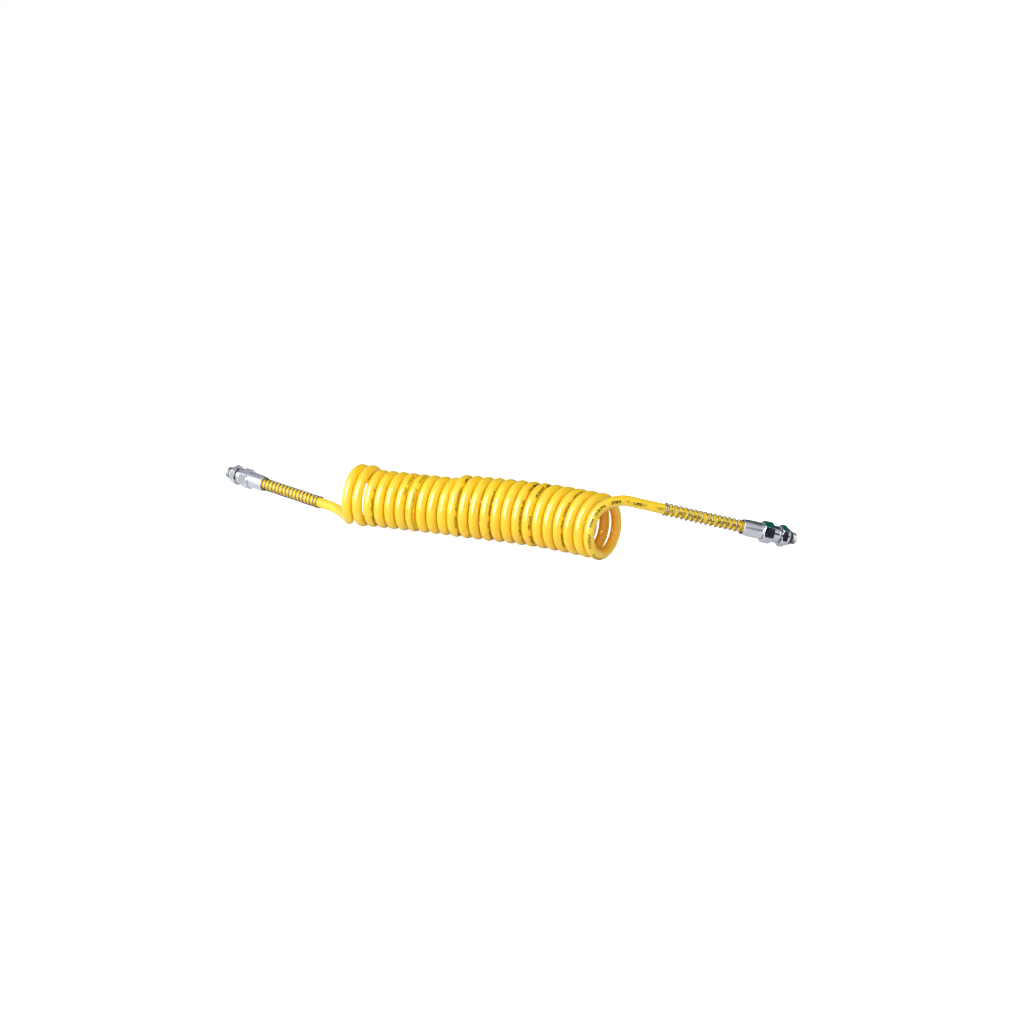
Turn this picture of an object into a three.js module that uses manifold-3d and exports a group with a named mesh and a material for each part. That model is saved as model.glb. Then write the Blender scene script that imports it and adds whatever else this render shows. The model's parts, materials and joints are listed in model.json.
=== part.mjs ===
// A coiled compressed-air hose lying on a bench: a yellow plastic tube wound into a left-handed coil,
// with a bend-guard spring and a swivelling threaded fitting at each end.
// Lengths are in millimetres and angles in degrees. +X runs along the coil, -Y faces the viewer, +Z is up.

import * as THREE from "three";
import { mergeVertices } from "three/addons/utils/BufferGeometryUtils.js";
import Module from "manifold-3d";

// Hose
const hoseDiameter = 12;
const hoseWall = 1.5;
const pieceGap = 0.3;

// Coil: radii are to the middle of the hose, places along it are counted in turns
const coilStart = 0.4;
const coilTurns = 23.2;
const looseRadius = 30.5;
const tightRadius = 28;
const tightFrom = 1.9;
const tightTo = 10;
const radiusBlend = 0.5;
const radiusGrowth = 0.08;
const tightLift = 0.7;
const coilRunOut = 12;
const turnGap = 1.1;
const gapGrowth = 0.17;
const gapGrowthFrom = 11;
const bendFrom = 14;
const bendPerTurn = 2;

// Bend-guard springs
const springWire = 1.3;
const springGap = 0.4;
const springLength = 97.5;
const springCurls = 18;
const springEndPitch = 2;
const springEndCurls = 1.25;
const springEase = 1;

// Clamping sleeve; every place along a fitting is measured from the sleeve's mouth
const sleeveLength = 24.3;
const sleeveWall = 0.8;
const sleeveBulge = 0.8;
const sleeveBulgeAt = 10.5;
const sleeveTaper = 0.35;
const springSeatDepth = 5;
const springSeatGap = 0.35;
const seatCone = 1.5;
const pocketAt = 12.8;

// Tube insert, grip ring and hose seal
const insertLength = 30;
const insertWall = 0.8;
const insertFlange = 0.8;
const hoseDepth = 26.5;
const gripLength = 2.3;
const sealLength = 2.2;
const sealWall = 0.8;

// Fitting body
const noseWall = 1.7;
const spannerSize = 22;
const spannerChamfer = 0.9;
const bodyHexLength = 12.5;
const collarLength = 7.7;
const collarRadius = 9.8;
const passageRadius = 4;
const passageLength = 3;
const chamberRadius = 6;
const edgeChamfer = 0.6;

// Swivelling stem
const stemBore = 6;
const stemInset = 1;
const neckLength = 1.8;
const neckRadius = 6.6;
const stemHexLength = 7.3;
const flangeLength = 3.9;
const flangeRadius = 10.3;
const undercutRadius = 5.9;
const threadDiameter = 13.8;
const threadLength = 6.4;
const threadChamfer = 1;
const swivelSealWire = 1.5;
const swivelSealAt = 4;
const sealGrooveWidth = 2.6;
const snapRingWidth = 1;
const snapRingBite = 0.6;
const snapRingAt = 8.9;
const snapRingOpening = 50;
const portSealWire = 2.4;

// How each end leaves the coil: the hose swings from the last turn to a straight run,
// which lies bareRun past the swing, then under the spring, then in the fitting
const leftEnd = {
  name: "left",
  swing: [-51.7, 56.3],
  heading: 158.7,
  rise: 2,
  bareRun: 12.8,
  coilPull: 20,
  runPull: 35,
  hexTurn: -17,
};
const rightEnd = {
  name: "right",
  swing: [29.6, 34.3],
  heading: 32.7,
  rise: -16.7,
  bareRun: 42.7,
  coilPull: 16,
  runPull: 13,
  hexTurn: 17,
};
const benchClearance = 0.1;

// Facets
const stepsPerTurn = 20;
const coilSides = 6;
const swingSteps = 9;
const stepsPerCurl = 8;
const wireSides = 5;
const roundSides = 18;
const ringSides = 6;
const snapRingSteps = 14;

// How far a cut runs past the piece it cuts, and how far apart two turns may be to be measured
const cutOverrun = 1;
const gapSearch = 3;

// Sizes that follow from the ones above
const hoseRadius = hoseDiameter / 2;
const boreRadius = hoseRadius - hoseWall;
const coilCorner = hoseRadius / Math.cos(Math.PI / coilSides);
const coilFlat = hoseDiameter / 10;
const springRadius = hoseRadius + springGap + springWire / 2;
const springOuter = springRadius + springWire / 2;
const socketRadius = hoseRadius + pieceGap;
const noseRadius = socketRadius + noseWall;
const seatRadius = springOuter + springSeatGap;
const mouthRadius = seatRadius + sleeveWall;
const spannerCorner = spannerSize / 2 / Math.cos(Math.PI / 6);
const gripAt = pocketAt + pieceGap;
const noseAt = gripAt + gripLength + pieceGap;
const hoseSealAt = noseAt + pieceGap;
const insertFlangeRadius = hoseRadius - pieceGap;
const insertEnd = hoseDepth + pieceGap + insertFlange;
const socketDepth = insertEnd + pieceGap;
const bodyHexAt = sleeveLength + pieceGap;
const collarAt = bodyHexAt + bodyHexLength;
const bodyEnd = collarAt + collarLength;
const chamberAt = socketDepth + passageLength;
const stemStart = chamberAt + stemInset;
const stemRadius = chamberRadius - pieceGap;
const neckAt = bodyEnd + pieceGap;
const stemHexAt = neckAt + neckLength;
const flangeAt = stemHexAt + stemHexLength;
const flangeEnd = flangeAt + flangeLength;
const undercutLength = portSealWire + 2 * pieceGap;
const threadAt = flangeEnd + undercutLength;
const fittingLength = threadAt + threadLength;

const wasm = await Module();
wasm.setup();

const finishes = {
  hose: { color: 0xf7c81e, roughness: 0.25, metalness: 0 },
  zinc: { color: 0xb9bcc2, roughness: 0.3, metalness: 1 },
  springSteel: { color: 0x6f6a64, roughness: 0.35, metalness: 1 },
  brass: { color: 0xc9a24a, roughness: 0.35, metalness: 1 },
  rubber: { color: 0x17171a, roughness: 0.7, metalness: 0 },
  plastic: { color: 0xe9e6dc, roughness: 0.5, metalness: 0 },
};

function mesh(name, geometry, finish) {
  const piece = new THREE.Mesh(geometry, new THREE.MeshStandardMaterial(finishes[finish]));
  piece.name = name;
  return piece;
}

// Booleans

function solidOf(geometry) {
  const bare = geometry.clone();
  bare.deleteAttribute("normal");
  bare.deleteAttribute("uv");
  const merged = mergeVertices(bare, 1e-5);
  return new wasm.Manifold(new wasm.Mesh({
    numProp: 3,
    vertProperties: new Float32Array(merged.attributes.position.array),
    triVerts: new Uint32Array(merged.index.array),
  }));
}

function geometryOf(solid) {
  const result = solid.getMesh();
  const geometry = new THREE.BufferGeometry();
  geometry.setAttribute("position", new THREE.BufferAttribute(result.vertProperties, 3));
  geometry.setIndex(new THREE.BufferAttribute(result.triVerts, 1));
  geometry.computeVertexNormals();
  return geometry;
}

// Turned pieces: a closed outline of [radius, place along the axis], turned about the axis

function turned(outline, sides = roundSides) {
  const points = outline.map(([radius, along]) => new THREE.Vector2(radius, along));
  points.push(points[0].clone());
  const geometry = new THREE.LatheGeometry(points, sides);
  geometry.rotateX(Math.PI / 2);
  return geometry;
}

// The corner radius of a faceted hole whose flats stand `radius` from the axis
function holeRadius(radius, sides = roundSides) {
  return radius / Math.cos(Math.PI / sides);
}

// A ring of round section about the axis
function roundRing(middleRadius, wire, along) {
  const outline = [];
  for (let side = 0; side < ringSides; side += 1) {
    const angle = (2 * Math.PI * side) / ringSides;
    outline.push([middleRadius + (wire / 2) * Math.cos(angle), along + (wire / 2) * Math.sin(angle)]);
  }
  return turned(outline);
}

// A spanner hexagon with both ends chamfered, its first flat facing `turn` degrees from local +X
function hexagon(from, length, turn) {
  const shape = new THREE.Shape();
  for (let corner = 0; corner < 6; corner += 1) {
    const angle = THREE.MathUtils.degToRad(turn + 30 + 60 * corner);
    const x = spannerCorner * Math.cos(angle);
    const y = spannerCorner * Math.sin(angle);
    if (corner === 0) {
      shape.moveTo(x, y);
    } else {
      shape.lineTo(x, y);
    }
  }
  const prism = new THREE.ExtrudeGeometry(shape, { depth: length, bevelEnabled: false });
  prism.translate(0, 0, from);
  const to = from + length;
  const chamferRadius = spannerSize / 2;
  const depth = Math.min(spannerChamfer, length / 3);
  const envelope = turned([
    [0, from],
    [chamferRadius, from],
    [spannerCorner * 1.02, from + depth],
    [spannerCorner * 1.02, to - depth],
    [chamferRadius, to],
    [0, to],
  ]);
  return solidOf(prism).intersect(solidOf(envelope));
}

// Swept tubes: a line of { point, outward } and a section of [outward, sideways] corners

function withTangents(line) {
  return line.map((place, index) => {
    const before = line[Math.max(index - 1, 0)].point;
    const after = line[Math.min(index + 1, line.length - 1)].point;
    const tangent = after.clone().sub(before).normalize();
    const outward = place.outward.clone().addScaledVector(tangent, -place.outward.dot(tangent)).normalize();
    const sideways = new THREE.Vector3().crossVectors(tangent, outward);
    return { point: place.point, outward, sideways };
  });
}

function regularSection(sides, radius) {
  const corners = [];
  for (let side = 0; side < sides; side += 1) {
    const angle = (2 * Math.PI * side) / sides;
    corners.push([radius * Math.cos(angle), radius * Math.sin(angle)]);
  }
  return corners;
}

function ringCorners(frame, section) {
  return section.map(([out, side]) => frame.point.clone()
    .addScaledVector(frame.outward, out)
    .addScaledVector(frame.sideways, side));
}

function sweptTube(line, section) {
  const sides = section.length;
  const positions = [];
  const index = [];
  withTangents(line).forEach((frame, ring) => {
    ringCorners(frame, section).forEach((corner, side) => {
      positions.push(corner.x, corner.y, corner.z);
      if (ring > 0) {
        const here = ring * sides + side;
        const next = ring * sides + ((side + 1) % sides);
        index.push(here - sides, next - sides, next);
        index.push(here - sides, next, here);
      }
    });
  });
  const last = (line.length - 1) * sides;
  for (let side = 1; side < sides - 1; side += 1) {
    index.push(0, side + 1, side);
    index.push(last, last + side, last + side + 1);
  }
  const geometry = new THREE.BufferGeometry();
  geometry.setAttribute("position", new THREE.Float32BufferAttribute(positions, 3));
  geometry.setIndex(index);
  geometry.computeVertexNormals();
  return geometry;
}

// The least gap between places of a swept tube that lie more than `apart` from each other along it,
// taken over each ring's corners, the middles of its sides and the same points halfway to the next ring
function leastGap(line, section, apart) {
  const frames = withTangents(line);
  const rings = [];
  let travelled = 0;
  frames.forEach((frame, ring) => {
    const corners = ringCorners(frame, section);
    if (ring > 0) {
      travelled += frame.point.distanceTo(frames[ring - 1].point);
      const before = rings[rings.length - 1].corners;
      const halfway = corners.map((corner, side) => corner.clone().lerp(before[side], 0.5));
      const middle = frame.point.clone().lerp(frames[ring - 1].point, 0.5);
      rings.push({ middle, corners: halfway, travelled: travelled });
    }
    rings.push({ middle: frame.point, corners, travelled });
  });
  rings.forEach((ring) => {
    const sides = ring.corners.map((corner, side) =>
      corner.clone().lerp(ring.corners[(side + 1) % ring.corners.length], 0.5));
    ring.samples = [...ring.corners, ...sides];
  });
  const reach = 2 * Math.hypot(...section[0]) + gapSearch;
  let least = Infinity;
  for (let one = 0; one < rings.length; one += 1) {
    for (let other = one + 1; other < rings.length; other += 1) {
      const far = rings[other].travelled - rings[one].travelled > apart;
      if (far && rings[one].middle.distanceTo(rings[other].middle) < reach) {
        for (const a of rings[one].samples) {
          for (const b of rings[other].samples) {
            least = Math.min(least, a.distanceTo(b));
          }
        }
      }
    }
  }
  return least;
}

// The coil

function tightness(turn) {
  return THREE.MathUtils.smoothstep(turn, tightFrom, tightFrom + radiusBlend)
    - THREE.MathUtils.smoothstep(turn, tightTo, tightTo + radiusBlend);
}

function coilRadius(turn) {
  return THREE.MathUtils.lerp(looseRadius, tightRadius, tightness(turn))
    + radiusGrowth * Math.max(0, turn - tightTo);
}

function coilLine() {
  const line = [];
  const axisPoint = new THREE.Vector3();
  const steps = Math.round(coilTurns * stepsPerTurn);
  for (let step = 0; step <= steps; step += 1) {
    const turn = coilStart + step / stepsPerTurn;
    const heading = THREE.MathUtils.degToRad(bendPerTurn * Math.max(0, turn - bendFrom));
    const farSide = new THREE.Vector3(Math.sin(heading), Math.cos(heading), 0);
    const phase = 2 * Math.PI * (turn - 0.5);
    const outward = farSide.multiplyScalar(-Math.cos(phase));
    outward.z = Math.sin(phase);
    const radius = coilRadius(turn);
    const axisHeight = radius + coilCorner - coilFlat + tightLift * tightness(turn);
    const point = axisPoint.clone().addScaledVector(outward, radius);
    point.z += axisHeight;
    line.push({ point, outward });
    const pitch = hoseDiameter + turnGap + gapGrowth * Math.max(0, turn - gapGrowthFrom);
    axisPoint.x += (Math.cos(heading) * pitch) / stepsPerTurn;
    axisPoint.y -= (Math.sin(heading) * pitch) / stepsPerTurn;
  }
  return line;
}

// The ends

function directionOf(end) {
  const heading = THREE.MathUtils.degToRad(end.heading);
  const rise = THREE.MathUtils.degToRad(end.rise);
  return new THREE.Vector3(
    Math.cos(heading) * Math.cos(rise),
    Math.sin(heading) * Math.cos(rise),
    Math.sin(rise),
  );
}

// Where an end's straight run starts. Its height lets the lowest spanner corner clear the bench.
function runStart(end, coilEnd) {
  const rise = THREE.MathUtils.degToRad(end.rise);
  const heights = [bodyHexAt, flangeAt].map((along) =>
    spannerCorner * Math.cos(rise) - (bareLength(end) + along) * Math.sin(rise));
  const height = benchClearance + Math.max(...heights);
  return new THREE.Vector3(coilEnd.x + end.swing[0], coilEnd.y + end.swing[1], height);
}

// From the start of the straight run to the sleeve's mouth
function bareLength(end) {
  return end.bareRun + springLength;
}

// The swing from the coil's end to the straight run, and the straight bit that ends the coiled piece
function swingLine(end, from, towards) {
  const start = runStart(end, from.point);
  const direction = directionOf(end);
  const curve = new THREE.CubicBezierCurve3(
    from.point,
    from.point.clone().addScaledVector(towards, end.coilPull),
    start.clone().addScaledVector(direction, -end.runPull),
    start,
  );
  const points = curve.getSpacedPoints(swingSteps).slice(1);
  points.push(start.clone().addScaledVector(direction, coilRunOut));
  const line = [];
  let outward = from.outward;
  let before = from.point;
  points.forEach((point) => {
    const tangent = point.clone().sub(before).normalize();
    outward = outward.clone().addScaledVector(tangent, -outward.dot(tangent)).normalize();
    line.push({ point, outward });
    before = point;
  });
  return line;
}

function hoseLine() {
  const turns = coilLine();
  const first = turns[0];
  const second = turns[1];
  const last = turns[turns.length - 1];
  const nextToLast = turns[turns.length - 2];
  const backward = first.point.clone().sub(second.point).normalize();
  const forward = last.point.clone().sub(nextToLast.point).normalize();
  const left = swingLine(leftEnd, first, backward).reverse();
  const right = swingLine(rightEnd, last, forward);
  return { line: [...left, ...turns, ...right], first: first.point, last: last.point };
}

// The coil is flattened where it stands on the bench
function coilPiece(line) {
  const section = regularSection(coilSides, coilCorner);
  const tube = sweptTube(line, section);
  tube.computeBoundingBox();
  const size = tube.boundingBox.getSize(new THREE.Vector3());
  const middle = tube.boundingBox.getCenter(new THREE.Vector3());
  const below = new THREE.BoxGeometry(size.x + hoseDiameter, size.y + hoseDiameter, hoseDiameter);
  below.translate(middle.x, middle.y, -hoseDiameter / 2);
  const halfTurn = Math.PI * tightRadius;
  console.log("least gap between turns of the coil:", leastGap(line, section, halfTurn).toFixed(3));
  return mesh("hose_coil", geometryOf(solidOf(tube).subtract(solidOf(below))), "hose");
}

// The straight hose from the coiled piece, under the spring and into the fitting
function hoseTail(end) {
  const start = coilRunOut + pieceGap - bareLength(end);
  const inner = holeRadius(boreRadius, stepsPerCurl);
  const outline = [
    [inner, start],
    [hoseRadius, start],
    [hoseRadius, hoseDepth],
    [inner, hoseDepth],
  ];
  return mesh(`hose_tail_${end.name}`, turned(outline, stepsPerCurl), "hose");
}

// The spring's curls are close at both ends; the last ones sit in the sleeve's mouth
function kinkSpring(end) {
  const length = springLength + springSeatDepth - 2 * pieceGap - springWire;
  const openFrom = springEndCurls - springEase / 2 - 0.25;
  const openTo = springCurls - springEndCurls - 0.25;
  const openCurls = openTo - openFrom;
  const extraPitch = (length - springEndPitch * springCurls) / openCurls;
  const line = [];
  let along = springWire / 2 - springLength;
  const steps = springCurls * stepsPerCurl;
  for (let step = 0; step <= steps; step += 1) {
    const curl = step / stepsPerCurl;
    const angle = 2 * Math.PI * curl;
    const outward = new THREE.Vector3(Math.cos(angle), Math.sin(angle), 0);
    const point = outward.clone().multiplyScalar(springRadius);
    point.z = along;
    line.push({ point, outward });
    const open = THREE.MathUtils.smoothstep(curl, openFrom, openFrom + springEase)
      - THREE.MathUtils.smoothstep(curl, openTo, openTo + springEase);
    along += (springEndPitch + extraPitch * open) / stepsPerCurl;
  }
  line.unshift(straightEnd(line[0], line[1]));
  line.push(straightEnd(line[line.length - 1], line[line.length - 2]));
  const section = regularSection(wireSides, springWire / 2);
  const gap = leastGap(line, section, Math.PI * springRadius);
  console.log(`least gap between curls of the ${end.name} spring:`, gap.toFixed(3));
  return mesh(`kink_spring_${end.name}`, sweptTube(line, section), "springSteel");
}

// One wire diameter of straight wire past `place`, square to the turn it leaves
function straightEnd(place, neighbour) {
  const along = place.point.clone().sub(neighbour.point);
  along.addScaledVector(place.outward, -along.dot(place.outward)).normalize();
  return { point: place.point.clone().addScaledVector(along, springWire), outward: place.outward };
}

function ferruleSleeve(end) {
  const bulgeRadius = mouthRadius + sleeveBulge;
  const pocketRadius = noseRadius + pieceGap;
  return mesh(`ferrule_sleeve_${end.name}`, turned([
    [holeRadius(seatRadius), 0],
    [mouthRadius, 0],
    [mouthRadius + sleeveBulge * 0.7, sleeveBulgeAt * 0.45],
    [bulgeRadius, sleeveBulgeAt],
    [bulgeRadius - sleeveTaper * 0.3, (sleeveBulgeAt + sleeveLength) / 2],
    [bulgeRadius - sleeveTaper, sleeveLength - edgeChamfer / 2],
    [bulgeRadius - sleeveTaper - edgeChamfer / 2, sleeveLength],
    [holeRadius(pocketRadius), sleeveLength],
    [holeRadius(pocketRadius), pocketAt],
    [holeRadius(socketRadius), pocketAt],
    [holeRadius(socketRadius), springSeatDepth + seatCone],
    [holeRadius(seatRadius), springSeatDepth],
  ]), "zinc");
}

function tubeInsert(end) {
  const outer = boreRadius - pieceGap;
  const inner = holeRadius(outer - insertWall);
  const start = insertEnd - insertLength;
  return mesh(`tube_insert_${end.name}`, turned([
    [inner, start],
    [outer - insertWall / 2, start],
    [outer, start + insertWall],
    [outer, insertEnd - insertFlange],
    [insertFlangeRadius, insertEnd - insertFlange],
    [insertFlangeRadius, insertEnd],
    [inner, insertEnd],
  ]), "brass");
}

// The ring whose sloped back is driven into the hose by the sleeve
function gripRing(end) {
  const inner = holeRadius(socketRadius);
  return mesh(`grip_ring_${end.name}`, turned([
    [inner, gripAt],
    [noseRadius - edgeChamfer, gripAt],
    [noseRadius, gripAt + edgeChamfer],
    [noseRadius, gripAt + gripLength],
    [inner + edgeChamfer, gripAt + gripLength],
    [inner, gripAt + gripLength - edgeChamfer],
  ]), "plastic");
}

function hoseSeal(end) {
  const inner = holeRadius(socketRadius);
  const outer = socketRadius + sealWall;
  const round = sealWall / 3;
  return mesh(`hose_seal_${end.name}`, turned([
    [inner, hoseSealAt],
    [outer - round, hoseSealAt],
    [outer, hoseSealAt + round],
    [outer, hoseSealAt + sealLength - round],
    [outer - round, hoseSealAt + sealLength],
    [inner, hoseSealAt + sealLength],
  ]), "rubber");
}

function fittingBody(end) {
  const sealPocket = holeRadius(socketRadius + sealWall + pieceGap);
  const groove = holeRadius(stemRadius + snapRingBite + 2 * pieceGap);
  const grooveAt = stemStart + snapRingAt - pieceGap;
  const grooveEnd = grooveAt + snapRingWidth + 2 * pieceGap;
  const outside = turned([
    [0, noseAt],
    [noseRadius - edgeChamfer / 2, noseAt],
    [noseRadius, noseAt + edgeChamfer / 2],
    [noseRadius, bodyHexAt + edgeChamfer],
    [collarRadius, bodyHexAt + edgeChamfer],
    [collarRadius, bodyEnd - edgeChamfer],
    [collarRadius - edgeChamfer, bodyEnd],
    [0, bodyEnd],
  ]);
  const inside = turned([
    [0, noseAt - cutOverrun],
    [sealPocket, noseAt - cutOverrun],
    [sealPocket, hoseSealAt + sealLength + pieceGap],
    [holeRadius(socketRadius), hoseSealAt + sealLength + pieceGap],
    [holeRadius(socketRadius), socketDepth],
    [holeRadius(passageRadius), socketDepth],
    [holeRadius(passageRadius), chamberAt],
    [holeRadius(chamberRadius), chamberAt],
    [holeRadius(chamberRadius), grooveAt],
    [groove, grooveAt],
    [groove, grooveEnd],
    [holeRadius(chamberRadius), grooveEnd],
    [holeRadius(chamberRadius), bodyEnd + cutOverrun],
    [0, bodyEnd + cutOverrun],
  ]);
  const solid = solidOf(outside)
    .add(hexagon(bodyHexAt, bodyHexLength, end.hexTurn))
    .subtract(solidOf(inside));
  return mesh(`fitting_body_${end.name}`, geometryOf(solid), "zinc");
}

function swivelStem(end) {
  const threadRadius = threadDiameter / 2;
  const sealGroove = stemRadius - swivelSealWire - pieceGap;
  const sealFrom = stemStart + swivelSealAt - sealGrooveWidth / 2;
  const sealTo = sealFrom + sealGrooveWidth;
  const snapGroove = stemRadius - snapRingBite - pieceGap;
  const snapFrom = stemStart + snapRingAt - pieceGap;
  const snapTo = snapFrom + snapRingWidth + 2 * pieceGap;
  const outside = turned([
    [0, stemStart],
    [stemRadius - edgeChamfer, stemStart],
    [stemRadius, stemStart + edgeChamfer],
    [stemRadius, sealFrom],
    [sealGroove, sealFrom],
    [sealGroove, sealTo],
    [stemRadius, sealTo],
    [stemRadius, snapFrom],
    [snapGroove, snapFrom],
    [snapGroove, snapTo],
    [stemRadius, snapTo],
    [stemRadius, neckAt],
    [neckRadius, neckAt],
    [neckRadius, stemHexAt + edgeChamfer],
    [flangeRadius, stemHexAt + edgeChamfer],
    [flangeRadius, flangeEnd - edgeChamfer],
    [flangeRadius - edgeChamfer, flangeEnd],
    [undercutRadius, flangeEnd],
    [undercutRadius, threadAt],
    [threadRadius, threadAt],
    [threadRadius, fittingLength - threadChamfer],
    [threadRadius - threadChamfer, fittingLength],
    [0, fittingLength],
  ]);
  const bore = turned([
    [0, stemStart - cutOverrun],
    [holeRadius(stemBore / 2), stemStart - cutOverrun],
    [holeRadius(stemBore / 2), fittingLength + cutOverrun],
    [0, fittingLength + cutOverrun],
  ]);
  const solid = solidOf(outside)
    .add(hexagon(stemHexAt, stemHexLength, end.hexTurn))
    .subtract(solidOf(bore));
  return mesh(`swivel_stem_${end.name}`, geometryOf(solid), "zinc");
}

function swivelSeal(end) {
  const middle = stemRadius - swivelSealWire / 2;
  const ring = roundRing(middle, swivelSealWire, stemStart + swivelSealAt);
  return mesh(`swivel_seal_${end.name}`, ring, "rubber");
}

// An open ring that sits half in the stem and half in the body and keeps them together
function snapRing(end) {
  const inner = stemRadius - snapRingBite;
  const outer = stemRadius + snapRingBite + pieceGap;
  const from = THREE.MathUtils.degToRad(snapRingOpening / 2);
  const to = 2 * Math.PI - from;
  const shape = new THREE.Shape();
  shape.absarc(0, 0, outer, from, to, false);
  shape.absarc(0, 0, inner, to, from, true);
  const ring = new THREE.ExtrudeGeometry(shape, {
    depth: snapRingWidth,
    bevelEnabled: false,
    curveSegments: snapRingSteps,
  });
  ring.translate(0, 0, stemStart + snapRingAt);
  return mesh(`snap_ring_${end.name}`, ring, "springSteel");
}

function portSeal(end) {
  const middle = undercutRadius + pieceGap + portSealWire / 2;
  const along = flangeEnd + pieceGap + portSealWire / 2;
  return mesh(`port_oring_${end.name}`, roundRing(middle, portSealWire, along), "rubber");
}

// One end's pieces, with local +Z along the fitting from the sleeve's mouth and local +X uppermost
function endGroup(end, coilEnd) {
  const group = new THREE.Group();
  const makers = [
    hoseTail,
    kinkSpring,
    ferruleSleeve,
    tubeInsert,
    gripRing,
    hoseSeal,
    fittingBody,
    swivelStem,
    swivelSeal,
    snapRing,
    portSeal,
  ];
  makers.forEach((make) => group.add(make(end)));
  const forward = directionOf(end);
  const up = new THREE.Vector3(0, 0, 1).addScaledVector(forward, -forward.z).normalize();
  const sideways = new THREE.Vector3().crossVectors(forward, up);
  group.setRotationFromMatrix(new THREE.Matrix4().makeBasis(up, sideways, forward));
  group.position.copy(runStart(end, coilEnd)).addScaledVector(forward, bareLength(end));
  return group;
}

const hose = hoseLine();
const airHose = new THREE.Group();
airHose.add(coilPiece(hose.line));
airHose.add(endGroup(leftEnd, hose.first));
airHose.add(endGroup(rightEnd, hose.last));

// The origin is under the middle of the whole part, on the bench
airHose.updateMatrixWorld(true);
const box = new THREE.Box3().setFromObject(airHose, true);
const middle = box.getCenter(new THREE.Vector3());
airHose.position.set(-middle.x, -middle.y, -box.min.z);

export default airHose;
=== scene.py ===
import json
import math

import bmesh
import bpy
import numpy as np
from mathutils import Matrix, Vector

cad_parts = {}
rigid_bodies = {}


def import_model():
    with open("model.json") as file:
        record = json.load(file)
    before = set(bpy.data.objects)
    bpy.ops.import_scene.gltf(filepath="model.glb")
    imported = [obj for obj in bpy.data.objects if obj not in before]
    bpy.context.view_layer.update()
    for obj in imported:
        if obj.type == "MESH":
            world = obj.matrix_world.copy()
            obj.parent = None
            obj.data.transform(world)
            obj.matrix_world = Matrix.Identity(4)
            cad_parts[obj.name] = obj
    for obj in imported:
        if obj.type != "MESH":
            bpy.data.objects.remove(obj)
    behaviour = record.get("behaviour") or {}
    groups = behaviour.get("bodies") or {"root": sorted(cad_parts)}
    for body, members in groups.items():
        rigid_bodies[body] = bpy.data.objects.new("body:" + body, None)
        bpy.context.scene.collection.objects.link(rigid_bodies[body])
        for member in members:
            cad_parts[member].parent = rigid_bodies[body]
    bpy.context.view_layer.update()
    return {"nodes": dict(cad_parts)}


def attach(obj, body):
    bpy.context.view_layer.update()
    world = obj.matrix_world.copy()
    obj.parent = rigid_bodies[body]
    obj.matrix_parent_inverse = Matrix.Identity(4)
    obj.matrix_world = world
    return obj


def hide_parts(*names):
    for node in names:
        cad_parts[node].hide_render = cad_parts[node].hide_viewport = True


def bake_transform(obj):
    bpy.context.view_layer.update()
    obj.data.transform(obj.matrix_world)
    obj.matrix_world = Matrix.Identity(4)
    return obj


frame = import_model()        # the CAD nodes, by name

scene = bpy.context.scene
mm = 0.001               # lengths in the dictionaries below are in millimetres
sharpFrom = 32           # degrees between two faces from which their edge looks sharp
print("frame loaded:", len(frame["nodes"]), "CAD nodes")


# Camera: right of the coil's front, a little above it
cameraView = {
    "place": (0.7757, -2.0693, 0.7449),
    "lookAt": (0.0458, -0.0083, 0.03125),
    "lens": 70.2,
    "sensorWidth": 36,
    "farthest": 100,
}


def makeCamera():
    lens = bpy.data.cameras.new("camera")
    lens.lens = cameraView["lens"]
    lens.sensor_width = cameraView["sensorWidth"]
    lens.clip_end = cameraView["farthest"]
    camera = bpy.data.objects.new("camera", lens)
    scene.collection.objects.link(camera)
    camera.location = Vector(cameraView["place"])
    aim = Vector(cameraView["lookAt"]) - camera.location
    camera.rotation_euler = aim.to_track_quat("-Z", "Y").to_euler()
    scene.camera = camera


makeCamera()
print("camera placed")


# From 0 to 1 between two values, eased at both
def smoothStep(value, low, high):
    share = min(max((value - low) / (high - low), 0), 1)
    return share * share * (3 - 2 * share)


def unit(vector):
    return vector / np.linalg.norm(vector)


def squareTo(vector, direction):
    return unit(vector - direction * float(np.dot(vector, direction)))


# A skin over rings of points; rings has the shape (ring, side, xyz), in metres.
# A looped skin joins its last ring to its first, and an open one is capped at both ends.
def ringSkin(name, rings, alongs, looped):
    ringCount, sides = rings.shape[:2]
    faces = []
    uvs = []
    for ring in range(ringCount if looped else ringCount - 1):
        following = (ring + 1) % ringCount
        low = alongs[ring]
        high = alongs[following] if following else alongs[ring] + mm
        for side in range(sides):
            after = (side + 1) % sides
            left = side / sides
            right = (side + 1) / sides
            faces.append((ring * sides + side, ring * sides + after,
                          following * sides + after, following * sides + side))
            uvs += [left, low, right, low, right, high, left, high]
    if not looped:
        last = (ringCount - 1) * sides
        for first, order in ((0, range(sides - 1, -1, -1)), (last, range(sides))):
            faces.append(tuple(first + side for side in order))
            uvs += [0.5, 0.5] * sides
    mesh = bpy.data.meshes.new(name)
    mesh.from_pydata(rings.reshape(-1, 3).tolist(), [], faces)
    layer = mesh.uv_layers.new(name="UVMap")
    layer.data.foreach_set("uv", uvs)
    work = bmesh.new()
    work.from_mesh(mesh)
    bmesh.ops.recalc_face_normals(work, faces=work.faces)
    work.to_mesh(mesh)
    work.free()
    mesh.shade_smooth()
    mesh.set_sharp_from_angle(angle=math.radians(sharpFrom))
    piece = bpy.data.objects.new(name, mesh)
    scene.collection.objects.link(piece)
    return piece


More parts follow.
